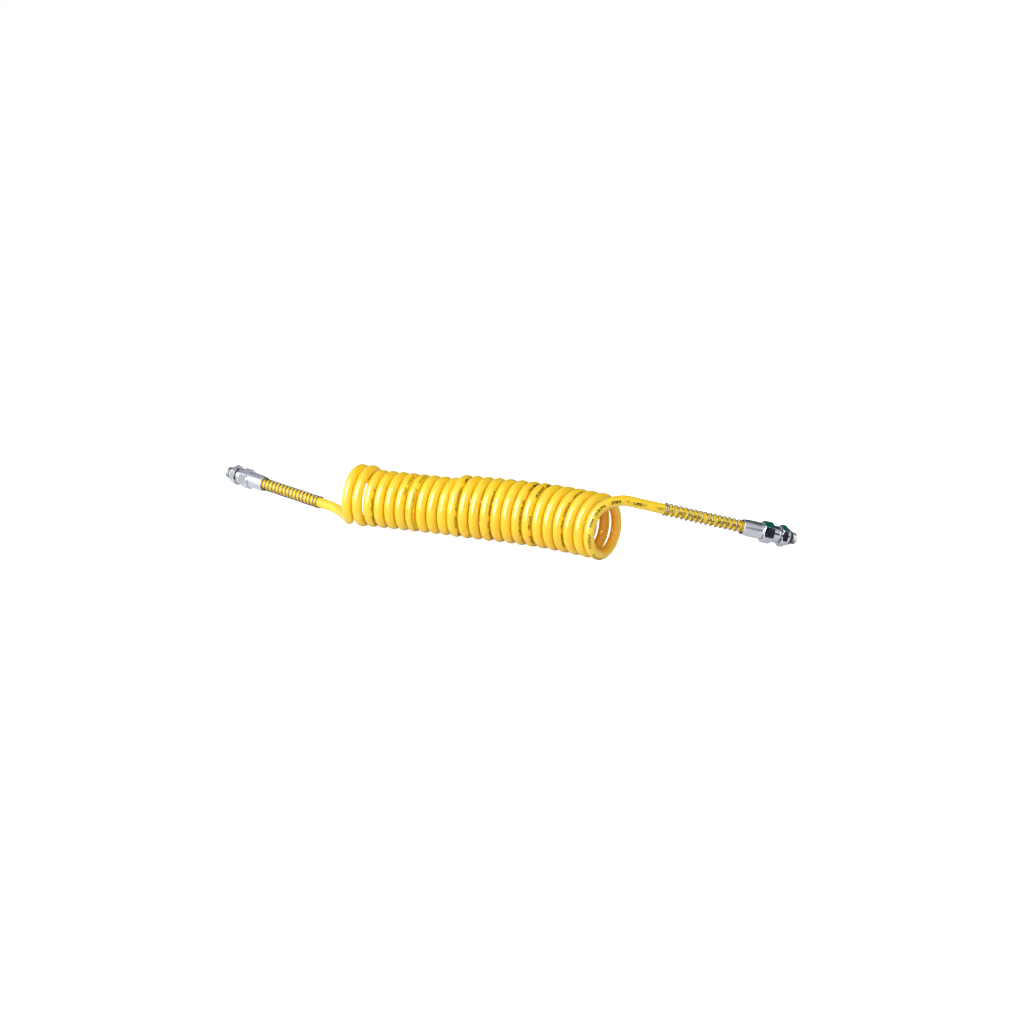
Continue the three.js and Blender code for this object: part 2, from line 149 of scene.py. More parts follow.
# Stations along a line of points: the point, and outward and sideways directions square to the line
def followLine(points, outwards):
    stations = []
    for index, point in enumerate(points):
        before = points[max(index - 1, 0)]
        after = points[min(index + 1, len(points) - 1)]
        tangent = unit(after - before)
        outward = squareTo(outwards[index], tangent)
        stations.append((point, outward, np.cross(tangent, outward)))
    return stations


def roundRing(station, radius, angles):
    point, outward, sideways = station
    return [point + radius * (math.cos(angle) * outward + math.sin(angle) * sideways)
            for angle in angles]


def lengthsAlong(points):
    steps = [0.0] + [float(np.linalg.norm(b - a)) for a, b in zip(points, points[1:])]
    return np.cumsum(steps)


# The two ends: where each sleeve's mouth is, which way its fitting points, and how the hose comes to it
ends = {
    "left": {
        "mouth": (-298.115, 50.114, 11.935),
        "heading": 158.7,
        "rise": 2,
        "bareRun": 12.8,
        "coilPull": 20,
        "runPull": 35,
        "hexTurn": -17,
        "body": "left_end",
        "swivel": "left_swivel",
    },
    "right": {
        "mouth": (305.22, 37.867, 27.841),
        "heading": 32.7,
        "rise": -16.7,
        "bareRun": 42.7,
        "coilPull": 16,
        "runPull": 13,
        "hexTurn": 17,
        "body": "right_end",
        "swivel": "right_swivel",
    },
}


# An end's directions: up and sideways across the fitting, and forward along it
def endAxes(end):
    heading = math.radians(end["heading"])
    rise = math.radians(end["rise"])
    forward = np.array([
        math.cos(heading) * math.cos(rise),
        math.sin(heading) * math.cos(rise),
        math.sin(rise),
    ])
    up = squareTo(np.array([0.0, 0.0, 1.0]), forward)
    return up, np.cross(forward, up), forward


# A place on an end's own axis, in millimetres from the sleeve's mouth
def onAxis(end, along):
    return (np.array(end["mouth"]) + endAxes(end)[2] * along) * mm


# The hose: one tube from fitting to fitting, wound into the coil between
hose = {
    "diameter": 12,
    "wall": 1.5,
    "coilStart": 0.4,           # in turns, as are the other places along the coil
    "coilTurns": 23.2,
    "looseRadius": 30.5,
    "tightRadius": 28,
    "tightFrom": 1.9,
    "tightTo": 10,
    "radiusBlend": 0.5,
    "radiusGrowth": 0.08,
    "tightLift": 0.7,
    "turnGap": 1.1,
    "gapGrowth": 0.17,
    "gapGrowthFrom": 11,
    "bendFrom": 14,
    "bendPerTurn": 2,           # degrees
    "coilOrigin": (-143.712, -21.553, 0),
    "springLength": 97.5,
    "depthInFitting": 26.5,
    "length": 4.81,             # metres
    "easedStretch": 0.25,       # share of the stretch that eases in and out at the coil's ends
    "innerShadeBlend": 0.2,          # turns over which the coil's inner side gets its painted shade, a deeper colour
    "innerShadeFacing": (-0.1, 0.9),     # from a side that hardly faces the axis to one that does
    "boreMapGap": 0.01,         # metres between the outside and the bore in the UV map
    "stepsPerTurn": 40,
    "swingSteps": 28,
    "tailSteps": 22,
    "sides": 24,
    # the printed line's turn about the hose, from the coil's outside towards the right: turn, degrees
    "printTurn": ((0.4, 60), (3, 69), (6.5, 44), (10.5, 63), (14, 72), (16.5, 66), (17.5, 56),
                  (20.5, 74), (23, 44), (23.6, 38), (23.85, 78), (24.05, 70), (26, 66)),
    # stretches of the coil where the print shows, in turns, and how much of its ink is left
    "printed": ((2.3, 2.62, 0.7), (3.16, 3.3, 1), (5.58, 5.76, 0.6), (6.15, 6.8, 0.55),
                (10.2, 10.65, 0.75), (10.68, 10.8, 1), (13.25, 13.7, 0.7), (16.2, 16.65, 0.75),
                (16.68, 16.82, 1), (17.15, 17.55, 0.8), (17.6, 17.86, 1), (20.35, 20.8, 0.7),
                (23.1, 23.64, 0.8), (23.645, 23.8, 1), (23.845, 23.858, 0.8), (23.89, 23.95, 1),
                (24.05, 24.07, 0.9), (24.13, 26, 0.9)),
}


def tightness(turn):
    blend = hose["radiusBlend"]
    return (smoothStep(turn, hose["tightFrom"], hose["tightFrom"] + blend)
            - smoothStep(turn, hose["tightTo"], hose["tightTo"] + blend))


def coilRadius(turn):
    slack = 1 - tightness(turn)
    grown = hose["radiusGrowth"] * max(0, turn - hose["tightTo"])
    return hose["tightRadius"] + (hose["looseRadius"] - hose["tightRadius"]) * slack + grown


# The middle of the hose in the coil, in millimetres, with the direction away from the coil's axis
def coilRoute():
    points = []
    outwards = []
    turns = []
    axisPoint = np.array(hose["coilOrigin"], float)
    perTurn = hose["stepsPerTurn"]
    for step in range(round(hose["coilTurns"] * perTurn) + 1):
        turn = hose["coilStart"] + step / perTurn
        heading = math.radians(hose["bendPerTurn"] * max(0, turn - hose["bendFrom"]))
        phase = 2 * math.pi * (turn - 0.5)
        outward = np.array([
            -math.cos(phase) * math.sin(heading),
            -math.cos(phase) * math.cos(heading),
            math.sin(phase),
        ])
        radius = coilRadius(turn)
        height = radius + hose["diameter"] / 2 + hose["tightLift"] * tightness(turn)
        points.append(axisPoint + radius * outward + np.array([0, 0, height]))
        outwards.append(outward)
        turns.append(turn)
        gap = hose["turnGap"] + hose["gapGrowth"] * max(0, turn - hose["gapGrowthFrom"])
        forward = np.array([math.cos(heading), -math.sin(heading), 0])
        axisPoint += forward * (hose["diameter"] + gap) / perTurn
    return points, outwards, turns


# From the coil's end over the swing and down the straight run into the fitting
def endRoute(end, coilEnd, towards, outward):
    forward = endAxes(end)[2]
    runStart = np.array(end["mouth"]) - forward * (end["bareRun"] + hose["springLength"])
    pulls = [coilEnd, coilEnd + towards * end["coilPull"], runStart - forward * end["runPull"], runStart]
    points = []
    for step in range(1, hose["swingSteps"] + 1):
        share = step / hose["swingSteps"]
        rest = 1 - share
        points.append(rest ** 3 * pulls[0] + 3 * rest ** 2 * share * pulls[1]
                      + 3 * rest * share ** 2 * pulls[2] + share ** 3 * pulls[3])
    runLength = end["bareRun"] + hose["springLength"] + hose["depthInFitting"]
    for step in range(1, hose["tailSteps"] + 1):
        points.append(runStart + forward * runLength * step / hose["tailSteps"])
    outwards = []
    before = coilEnd
    for point in points:
        outward = squareTo(outward, unit(point - before))
        outwards.append(outward)
        before = point
    return points, outwards


def hoseRoute():
    points, outwards, turns = coilRoute()
    back = unit(points[0] - points[1])
    on = unit(points[-1] - points[-2])
    leftPoints, leftOutwards = endRoute(ends["left"], points[0], back, outwards[0])
    rightPoints, rightOutwards = endRoute(ends["right"], points[-1], on, outwards[-1])
    perTurn = 2 * math.pi * hose["looseRadius"]
    leftTurns = turns[0] - lengthsAlong([points[0]] + leftPoints)[1:] / perTurn
    rightTurns = turns[-1] + lengthsAlong([points[-1]] + rightPoints)[1:] / perTurn
    return (
        [point * mm for point in leftPoints[::-1] + points + rightPoints],
        leftOutwards[::-1] + outwards + rightOutwards,
        list(leftTurns[::-1]) + turns + list(rightTurns),
    )


def printAngle(turn):
    places, degrees = zip(*hose["printTurn"])
    return math.radians(float(np.interp(turn, places, degrees)))


def inkAt(turn):
    return max((ink for first, last, ink in hose["printed"] if first <= turn <= last), default=0)


# How far a side of the hose faces into the coil, where the plastic gets painted shade, a deeper orange
def innerShadeAt(turn, angle):
    first = hose["coilStart"]
    last = first + hose["coilTurns"]
    blend = hose["innerShadeBlend"]
    inCoil = smoothStep(turn, first, first + blend) - smoothStep(turn, last - blend, last)
    return inCoil * smoothStep(-math.cos(angle), *hose["innerShadeFacing"])


# The same value all round each ring, written for every point of the skin
def perPoint(values):
    return np.repeat(np.array(values, np.float32), hose["sides"])


def makeHose():
    points, outwards, turns = hoseRoute()
    stations = followLine(points, outwards)
    alongs = lengthsAlong(points)
    sides = hose["sides"]
    radius = hose["diameter"] / 2 * mm
    bore = radius - hose["wall"] * mm
    rings = []
    innerShade = []
    # out along the outside, then back along the bore; the print runs down the middle of the UV map
    for station, turn in zip(stations, turns):
        start = printAngle(turn) + math.pi
        angles = [start + 2 * math.pi * side / sides for side in range(sides)]
        rings.append(roundRing(station, radius, angles))
        # how much painted shade each side gets where it faces into the coil
        innerShade += [innerShadeAt(turn, angle) for angle in angles]
    rings += [[point + (corner - point) * bore / radius for corner in ring]
              for ring, (point, _, _) in zip(rings[::-1], stations[::-1])]
    places = list(alongs) + list(alongs[-1] + hose["boreMapGap"] + (alongs[-1] - alongs[::-1]))
    piece = ringSkin("coil_hose", np.array(rings), places, looped=True)
    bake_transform(piece)
    ink = perPoint([inkAt(turn) for turn in turns])
    # the ink left on the print, and the painted shade on the sides facing into the coil
    for label, values in (("inked", ink), ("innerShade", np.array(innerShade, np.float32))):
        attribute = piece.data.attributes.new(label, "FLOAT", "POINT")
        attribute.data.foreach_set("value", np.concatenate([values, np.zeros_like(values)]))
    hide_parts("hose_coil", "hose_tail_left", "hose_tail_right")
    print("hose made, length", round(float(alongs[-1]), 3), "m")
    return piece, points


hosePiece, hosePoints = makeHose()


# The bend-guard springs, with closed curls at both ends
spring = {
    "wire": 1.3,
    "gap": 0.4,
    "curls": 18,
    "endPitch": 2,
    "endCurls": 1.25,
    "ease": 1,
    "easeLead": 0.25,           # curls by which each change of pitch comes early
    "tipLength": 0.15,
    "tipShare": 0.7,            # the cut end's radius against the wire's
    "seatDepth": 5,
    "pieceGap": 0.3,
    "stepsPerCurl": 28,
    "sides": 12,
}


def makeSpring(side, end):
    wire = spring["wire"]
    radius = hose["diameter"] / 2 + spring["gap"] + wire / 2
    length = hose["springLength"] + spring["seatDepth"] - 2 * spring["pieceGap"] - wire
    openFrom = spring["endCurls"] - spring["ease"] / 2 - spring["easeLead"]
    openTo = spring["curls"] - spring["endCurls"] - spring["easeLead"]
    extra = (length - spring["endPitch"] * spring["curls"]) / (openTo - openFrom)
    up, sideways, forward = endAxes(end)
    points = []
    outwards = []
    along = wire / 2 - hose["springLength"]
    for step in range(spring["curls"] * spring["stepsPerCurl"] + 1):
        curl = step / spring["stepsPerCurl"]
        angle = 2 * math.pi * curl
        outward = up * math.cos(angle) + sideways * math.sin(angle)
        points.append(onAxis(end, along) + outward * radius * mm)
        outwards.append(outward)
        opened = (smoothStep(curl, openFrom, openFrom + spring["ease"])
                  - smoothStep(curl, openTo, openTo + spring["ease"]))
        along += (spring["endPitch"] + extra * opened) / spring["stepsPerCurl"]
    stations = followLine(points, outwards)
    angles = [2 * math.pi * side / spring["sides"] for side in range(spring["sides"])]
    rings = [roundRing(station, wire / 2 * mm, angles) for station in stations]
    # each end is cut square, with its edge rubbed off
    tipRadius = wire / 2 * spring["tipShare"] * mm
    cutEnds = ((0, stations[0], stations[1]), (len(rings), stations[-1], stations[-2]))
    for where, station, neighbour in cutEnds:
        point, outward, sideAxis = station
        tip = point + unit(point - neighbour[0]) * spring["tipLength"] * mm
        rings.insert(where, roundRing((tip, outward, sideAxis), tipRadius, angles))
    alongs = np.arange(len(rings)) * 2 * math.pi * radius * mm / spring["stepsPerCurl"]
    piece = ringSkin("bend_spring_" + side, np.array(rings), alongs, looped=False)
    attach(piece, end["body"])
    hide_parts("kink_spring_" + side)
    return piece


springs = {side: makeSpring(side, end) for side, end in ends.items()}
print("springs made")


# The fittings; places along them run from the sleeve's mouth
fitting = {
    "sleeveLength": 24.3,
    "mouthRadius": 8.85,
    "bulgeRadius": 9.65,
    "bulgeAt": 10.5,
    "sleeveEndRadius": 9.3,
    "seatRadius": 8.05,
    "seatDepth": 5,
    "seatCone": 1.5,
    "socketRadius": 6.3,
    "pocketAt": 12.8,
    "pocketRadius": 8.3,
    "noseAt": 15.7,
    "noseRadius": 8.0,
    "sealPocketRadius": 7.4,
    "sealPocketEnd": 18.5,
    "socketDepth": 27.9,
    "passageRadius": 4,
    "chamberAt": 30.9,
    "chamberRadius": 6,
    "bodyHexAt": 24.6,
    "bodyHexLength": 12.5,
    "spannerSize": 22,
    "spannerChamfer": 0.9,
    "cornerRound": 0.5,
    "collarRadius": 9.8,
    "bodyEnd": 44.8,
    "grooveRadius": 6.9,
    "grooveAt": 40.5,
    "grooveEnd": 42.1,
    "stemStart": 31.9,
    "stemRadius": 5.7,
    "stemBore": 3,
    "sealGrooveRadius": 3.9,
    "sealGrooveFrom": 34.6,
    "sealGrooveTo": 37.2,
    "snapGrooveRadius": 4.8,
    "snapGrooveFrom": 40.5,
    "snapGrooveTo": 42.1,
    "neckAt": 45.1,
    "neckRadius": 6.6,
    "stemHexAt": 46.9,
    "stemHexLength": 7.3,
    "flangeRadius": 10.3,
    "flangeFace": 9.1,
    "flangeEnd": 58.1,
    "undercutRadius": 5.9,
    "threadAt": 61.1,
    "threadRadius": 6.9,
    "threadPitch": 1.34,
    "threadDepth": 0.62,
    "threadFlank": 1.3,         # how steep the thread's ridge is, and how wide its root
    "threadRoot": 0.15,
    "threadChamfer": 1,
    "tip": 67.5,
    "boreRound": 0.4,
    "flangeChamfer": 1.6,
    "cornerCut": 1.02,          # the turned chamfer's outer radius against the hexagon's corners
    "barrelSteps": 12,
    "flatSteps": 16,
    "chamferSteps": 8,
    "threadSteps": 58,
}


# The spanner hexagon's radius at an angle, with its corners rounded off
def hexRadius(angle, hexTurn):
    flat = fitting["spannerSize"] / 2
    rounding = fitting["cornerRound"]
    fromCorner = abs((angle - math.radians(hexTurn)) % (math.pi / 3) - math.pi / 6)
    centre = (flat - rounding) / math.cos(math.pi / 6)
    edge = math.atan2(rounding * 0.5, centre + rounding * math.cos(math.pi / 6))
    if fromCorner < edge:
        across = centre * math.sin(fromCorner)
        return centre * math.cos(fromCorner) + math.sqrt(rounding ** 2 - across ** 2)
    return flat / math.cos(math.pi / 6 - fromCorner)


# Angles about the axis, closer together over the hexagon's corners
def fittingAngles(hexTurn):
    edge = math.atan2(fitting["cornerRound"] * 0.5, fitting["spannerSize"] / 2 / math.cos(math.pi / 6))
    angles = []
    for corner in range(6):
        middle = math.radians(hexTurn + 30 + 60 * corner)
        angles += [middle + edge * share for share in (-1, -0.5, 0, 0.5, 1)]
        between = math.pi / 3 - 2 * edge
        angles += [middle + edge + between * step / fitting["flatSteps"]
                   for step in range(1, fitting["flatSteps"])]
    return angles


# A closed outline of (radius, along, rounding), its corners rounded where a rounding is given
def roundedOutline(corners):
    outline = []
    for index, corner in enumerate(corners):
        here = np.array(corner[:2], float)
        rounding = corner[2] if len(corner) > 2 else 0
        if not rounding:
            outline.append(tuple(here))
            continue
        before = np.array(corners[index - 1][:2], float)
        after = np.array(corners[(index + 1) % len(corners)][:2], float)
        start = here + unit(before - here) * rounding
        finish = here + unit(after - here) * rounding
        for share in (0, 0.25, 0.5, 0.75, 1):
            point = (1 - share) ** 2 * start + 2 * share * (1 - share) * here + share ** 2 * finish
            outline.append(tuple(point))
    return outline


# The hexagon's outline, with a turned chamfer at both ends
def hexOutline(start, length):
    flat = fitting["spannerSize"] / 2
    corner = flat / math.cos(math.pi / 6) * fitting["cornerCut"]
    depth = fitting["spannerChamfer"]
    steps = fitting["chamferSteps"]
    rising = [(flat + (corner - flat) * step / steps, start + depth * step / steps)
              for step in range(steps + 1)]
    falling = [(radius, 2 * start + length - along) for radius, along in rising[::-1]]
    return rising + falling


# The thread's ridge winds forward with the angle and is cut down towards the tip
def threadRadiusAt(angle, along):
    pitch = fitting["threadPitch"]
    share = (along / pitch - angle / (2 * math.pi)) % 1
    ridge = min(max(fitting["threadFlank"] * abs(2 * share - 1) - fitting["threadRoot"], 0), 1)
    crest = fitting["threadRadius"] - fitting["threadDepth"] * (1 - ridge)
    chamfered = fitting["threadRadius"] - max(0, along - (fitting["tip"] - fitting["threadChamfer"]))
    return min(crest, chamfered)


# A turned piece on an end's axis; kinds says which outline points lie on a hexagon or a thread
def turnedPiece(name, end, outline, kinds=None):
    kinds = kinds or ["round"] * len(outline)
    up, sideways, forward = endAxes(end)
    angles = fittingAngles(end["hexTurn"])
    rings = []
    for (radius, along), kind in zip(outline, kinds):
        middle = onAxis(end, along)
        ring = []
        for angle in angles:
            reach = radius
            if kind == "hex":
                reach = min(radius, hexRadius(angle, end["hexTurn"]))
            elif kind == "thread":
                reach = threadRadiusAt(angle, along)
            ring.append(middle + (up * math.cos(angle) + sideways * math.sin(angle)) * reach * mm)
        rings.append(ring)
    outlinePoints = [np.array(point) * mm for point in outline]
    return ringSkin(name, np.array(rings), lengthsAlong(outlinePoints), looped=True)


# One outline from stretches of different kinds, and the kind of each of its points
def joinOutlines(*parts):
    outline = []
    kinds = []
    for kind, points in parts:
        outline += points
        kinds += [kind] * len(points)
    return outline, kinds


def makeSleeve(side, end):
    size = fitting
    barrel = []
    for step in range(1, size["barrelSteps"]):
        along = size["sleeveLength"] * step / size["barrelSteps"]
        if along < size["bulgeAt"]:
            share = math.sin(math.pi / 2 * along / size["bulgeAt"])
            radius = size["mouthRadius"] + (size["bulgeRadius"] - size["mouthRadius"]) * share
        else:
            share = (along - size["bulgeAt"]) / (size["sleeveLength"] - size["bulgeAt"])
            radius = size["bulgeRadius"] - (size["bulgeRadius"] - size["sleeveEndRadius"]) * share ** 2
        barrel.append((radius, along))
    outline = roundedOutline(
        [(size["seatRadius"], 0, 0.25), (size["mouthRadius"], 0, 0.3)] + barrel + [
            (size["sleeveEndRadius"], size["sleeveLength"], 0.8),
            (size["pocketRadius"], size["sleeveLength"], 0.2),
            (size["pocketRadius"], size["pocketAt"]),
            (size["socketRadius"], size["pocketAt"]),
            (size["socketRadius"], size["seatDepth"] + size["seatCone"], 0.3),
            (size["seatRadius"], size["seatDepth"], 0.3),
        ])
    piece = turnedPiece("clamp_sleeve_" + side, end, outline)
    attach(piece, end["body"])
    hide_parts("ferrule_sleeve_" + side)
    return piece


def makeBody(side, end):
    size = fitting
    hexEnd = size["bodyHexAt"] + size["bodyHexLength"]
    nose = roundedOutline([
        (size["sealPocketRadius"], size["noseAt"]),
        (size["noseRadius"], size["noseAt"], 0.3),
        (size["noseRadius"], size["bodyHexAt"]),
        (size["spannerSize"] / 2, size["bodyHexAt"]),
    ])[:-1]
    rear = roundedOutline([
        (size["spannerSize"] / 2, hexEnd),
        (size["collarRadius"], hexEnd),
        (size["collarRadius"], size["bodyEnd"], 0.7),
        (size["chamberRadius"], size["bodyEnd"], 0.3),
        (size["chamberRadius"], size["grooveEnd"]),
        (size["grooveRadius"], size["grooveEnd"]),
        (size["grooveRadius"], size["grooveAt"]),
        (size["chamberRadius"], size["grooveAt"]),
        (size["chamberRadius"], size["chamberAt"]),
        (size["passageRadius"], size["chamberAt"]),
        (size["passageRadius"], size["socketDepth"]),
        (size["socketRadius"], size["socketDepth"]),
        (size["socketRadius"], size["sealPocketEnd"]),
        (size["sealPocketRadius"], size["sealPocketEnd"]),
    ])[1:]
    outline, kinds = joinOutlines(
        ("round", nose),
        ("hex", hexOutline(size["bodyHexAt"], size["bodyHexLength"])),
        ("round", rear),
    )
    piece = turnedPiece("hex_body_" + side, end, outline, kinds)
    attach(piece, end["body"])
    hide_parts("fitting_body_" + side)
    return piece


def makeStem(side, end):
    size = fitting
    hexEnd = size["stemHexAt"] + size["stemHexLength"]
    shank = roundedOutline([
        (size["stemBore"], size["stemStart"], 0.3),
        (size["stemRadius"], size["stemStart"], 0.6),
        (size["stemRadius"], size["sealGrooveFrom"], 0.15),
        (size["sealGrooveRadius"], size["sealGrooveFrom"]),
        (size["sealGrooveRadius"], size["sealGrooveTo"]),
        (size["stemRadius"], size["sealGrooveTo"], 0.15),
        (size["stemRadius"], size["snapGrooveFrom"]),
        (size["snapGrooveRadius"], size["snapGrooveFrom"]),
        (size["snapGrooveRadius"], size["snapGrooveTo"]),
        (size["stemRadius"], size["snapGrooveTo"]),
        (size["stemRadius"], size["neckAt"]),
        (size["neckRadius"], size["neckAt"], 0.2),
        (size["neckRadius"], size["stemHexAt"]),
        (size["spannerSize"] / 2, size["stemHexAt"]),
    ])[:-1]
    flange = roundedOutline([
        (size["spannerSize"] / 2, hexEnd),
        (size["flangeRadius"], hexEnd),
        (size["flangeRadius"], size["flangeEnd"] - size["flangeChamfer"], 0.5),
        (size["flangeFace"], size["flangeEnd"], 0.4),
        (size["undercutRadius"], size["flangeEnd"], 0.2),
        (size["undercutRadius"], size["threadAt"]),
        (size["threadRadius"], size["threadAt"]),
    ])[1:-1]
    threadLength = size["tip"] - size["threadAt"]
    thread = [(size["threadRadius"], size["threadAt"] + threadLength * step / size["threadSteps"])
              for step in range(size["threadSteps"] + 1)]
    rounding = size["boreRound"]
    mouth = [
        (size["stemBore"] + rounding, size["tip"]),
        (size["stemBore"] + rounding / 4, size["tip"] - rounding / 4),
        (size["stemBore"], size["tip"] - rounding),
    ]
    outline, kinds = joinOutlines(
        ("round", shank),
        ("hex", hexOutline(size["stemHexAt"], size["stemHexLength"])),
        ("round", flange),
        ("thread", thread),
        ("round", mouth),
    )
    piece = turnedPiece("threaded_stem_" + side, end, outline, kinds)
    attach(piece, end["swivel"])
    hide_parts("swivel_stem_" + side)
    return piece


# The rubber ring at the root of each thread
portRing = {
    "wire": 2.4,
    "middleRadius": 7.4,
    "at": 59.6,
    "sides": 20,
}


def makePortRing(side, end):
    outline = []
    reach = portRing["wire"] / 2
    for step in range(portRing["sides"]):
        angle = 2 * math.pi * step / portRing["sides"]
        outline.append((portRing["middleRadius"] + reach * math.cos(angle),
                        portRing["at"] + reach * math.sin(angle)))
    piece = turnedPiece("face_seal_" + side, end, outline)
    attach(piece, end["swivel"])
    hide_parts("port_oring_" + side)
    return piece


platedPieces = []
portRings = []
for side, end in ends.items():
    platedPieces += [makeSleeve(side, end), makeBody(side, end), makeStem(side, end)]
    portRings.append(makePortRing(side, end))
print("fittings made")


# A node with its settings, and its unlinked inputs by name
def addNode(tree, kind, values=None, **settings):
    node = tree.nodes.new(kind)
    for name, value in settings.items():
        setattr(node, name, value)
    for name, value in (values or {}).items():
        node.inputs[name].default_value = value
    return node


def newGroup(name, inputs, outputs):
    group = bpy.data.node_groups.new(name, "ShaderNodeTree")
    for label, kind, value in inputs:
        socket = group.interface.new_socket(label, in_out="INPUT", socket_type="NodeSocket" + kind)
        if value is not None:
            socket.default_value = value
    for label, kind in outputs:
        group.interface.new_socket(label, in_out="OUTPUT", socket_type="NodeSocket" + kind)
    return group, group.nodes.new("NodeGroupInput"), group.nodes.new("NodeGroupOutput")


# Broad cloudiness and fine grain together, both from the object's own coordinates
def makeGrainGroup():
    group, given, result = newGroup(
        "surfaceGrain",
        [("Vector", "Vector", None), ("Cloud Scale", "Float", 40.0), ("Grain Scale", "Float", 900.0)],
        [("Cloud", "Float"), ("Grain", "Float")])
    links = group.links
    for label, detail in (("Cloud", 3.0), ("Grain", 5.0)):
        noise = addNode(group, "ShaderNodeTexNoise", {"Detail": detail, "Roughness": 0.6})
        links.new(given.outputs["Vector"], noise.inputs["Vector"])
        links.new(given.outputs[label + " Scale"], noise.inputs["Scale"])
        links.new(noise.outputs["Fac"], result.inputs[label])
    return group


# Fine grooves round a turned piece, from the place along its outline
def makeTurningGroup():
    group, given, result = newGroup(
        "turningMarks",
        [("UV", "Vector", None), ("Lines", "Float", 3500.0), ("Streaks", "Float", 6.0)],
        [("Height", "Float"), ("Tone", "Float")])
    links = group.links
    parts = addNode(group, "ShaderNodeSeparateXYZ")
    links.new(given.outputs["UV"], parts.inputs["Vector"])
    lines = addNode(group, "ShaderNodeMath", operation="MULTIPLY")
    links.new(parts.outputs["Y"], lines.inputs[0])
    links.new(given.outputs["Lines"], lines.inputs[1])
    streaks = addNode(group, "ShaderNodeMath", operation="MULTIPLY")
    links.new(parts.outputs["X"], streaks.inputs[0])
    links.new(given.outputs["Streaks"], streaks.inputs[1])
    place = addNode(group, "ShaderNodeCombineXYZ")
    links.new(streaks.outputs["Value"], place.inputs["X"])
    links.new(lines.outputs["Value"], place.inputs["Y"])
    noise = addNode(group, "ShaderNodeTexNoise", {"Scale": 1.0, "Detail": 3.0, "Roughness": 0.55})
    links.new(place.outputs["Vector"], noise.inputs["Vector"])
    links.new(noise.outputs["Fac"], result.inputs["Height"])
    spread = addNode(group, "ShaderNodeMapRange", {"From Min": 0.3, "From Max": 0.7})
    links.new(noise.outputs["Fac"], spread.inputs["Value"])
    links.new(spread.outputs["Result"], result.inputs["Tone"])
    return group


# Small scratches and rub marks where hands and tools have been
def makeScuffGroup():
    group, given, result = newGroup(
        "handlingScuffs",
        [("Vector", "Vector", None), ("Scale", "Float", 120.0), ("Amount", "Float", 0.5)],
        [("Mask", "Float")])
    links = group.links
    stretched = addNode(group, "ShaderNodeMapping", {
        "Scale": (1.0, 1.0, 7.0), "Rotation": (0.4, 0.3, 0.6)})
    links.new(given.outputs["Vector"], stretched.inputs["Vector"])
    cells = addNode(group, "ShaderNodeTexVoronoi", feature="DISTANCE_TO_EDGE")
    links.new(stretched.outputs["Vector"], cells.inputs["Vector"])
    links.new(given.outputs["Scale"], cells.inputs["Scale"])
    thin = addNode(group, "ShaderNodeMapRange", {
        "From Min": 0.0, "From Max": 0.035, "To Min": 1.0, "To Max": 0.0})
    links.new(cells.outputs["Distance"], thin.inputs["Value"])
    patches = addNode(group, "ShaderNodeTexNoise", {"Scale": 60.0, "Detail": 2.0})
    links.new(given.outputs["Vector"], patches.inputs["Vector"])
    where = addNode(group, "ShaderNodeMapRange", {"From Min": 0.5, "From Max": 0.68})
    links.new(patches.outputs["Fac"], where.inputs["Value"])
    both = addNode(group, "ShaderNodeMath", operation="MULTIPLY")
    links.new(thin.outputs["Result"], both.inputs[0])
    links.new(where.outputs["Result"], both.inputs[1])
    dosed = addNode(group, "ShaderNodeMath", operation="MULTIPLY")
    links.new(both.outputs["Value"], dosed.inputs[0])
    links.new(given.outputs["Amount"], dosed.inputs[1])
    links.new(dosed.outputs["Value"], result.inputs["Mask"])
    return group


grainGroup = makeGrainGroup()
turningGroup = makeTurningGroup()
scuffGroup = makeScuffGroup()


# One of the groups in a material, fed with the coordinates it follows
def placeGroup(tree, group, vector, values=None):
    node = addNode(tree, "ShaderNodeGroup", node_tree=group)
    for name, value in (values or {}).items():
        node.inputs[name].default_value = value
    tree.links.new(vector, node.inputs[0])
    return node


def newMaterial(name, shaderValues):
    material = bpy.data.materials.new(name)
    material.use_nodes = True
    tree = material.node_tree
    tree.nodes.clear()
    output = tree.nodes.new("ShaderNodeOutputMaterial")
    shader = addNode(tree, "ShaderNodeBsdfPrincipled", shaderValues)
    tree.links.new(shader.outputs["BSDF"], output.inputs["Surface"])
    return material, tree, shader


def rangeOf(tree, value, low, high, fromLow=0.0, fromHigh=1.0):
    node = addNode(tree, "ShaderNodeMapRange", {
        "From Min": fromLow, "From Max": fromHigh, "To Min": low, "To Max": high})
    tree.links.new(value, node.inputs["Value"])
    return node.outputs["Result"]


def mixColours(tree, factor, first, second):
    node = addNode(tree, "ShaderNodeMix", data_type="RGBA")
    for socket, colour in ((node.inputs[6], first), (node.inputs[7], second)):
        if isinstance(colour, tuple):
            socket.default_value = colour + (1.0,)
        else:
            tree.links.new(colour, socket)
    tree.links.new(factor, node.inputs[0])
    return node.outputs[2]


def mathOf(tree, operation, first, second=None):
    node = addNode(tree, "ShaderNodeMath", operation=operation)
    for socket, value in zip(node.inputs, (first, second)):
        if isinstance(value, (int, float)):
            socket.default_value = value
        elif value is not None:
            tree.links.new(value, socket)
    return node.outputs["Value"]


def addBump(tree, shader, height, strength, distance):
    bump = addNode(tree, "ShaderNodeBump", {"Strength": strength, "Distance": distance})
    tree.links.new(height, bump.inputs["Height"])
    tree.links.new(bump.outputs["Normal"], shader.inputs["Normal"])
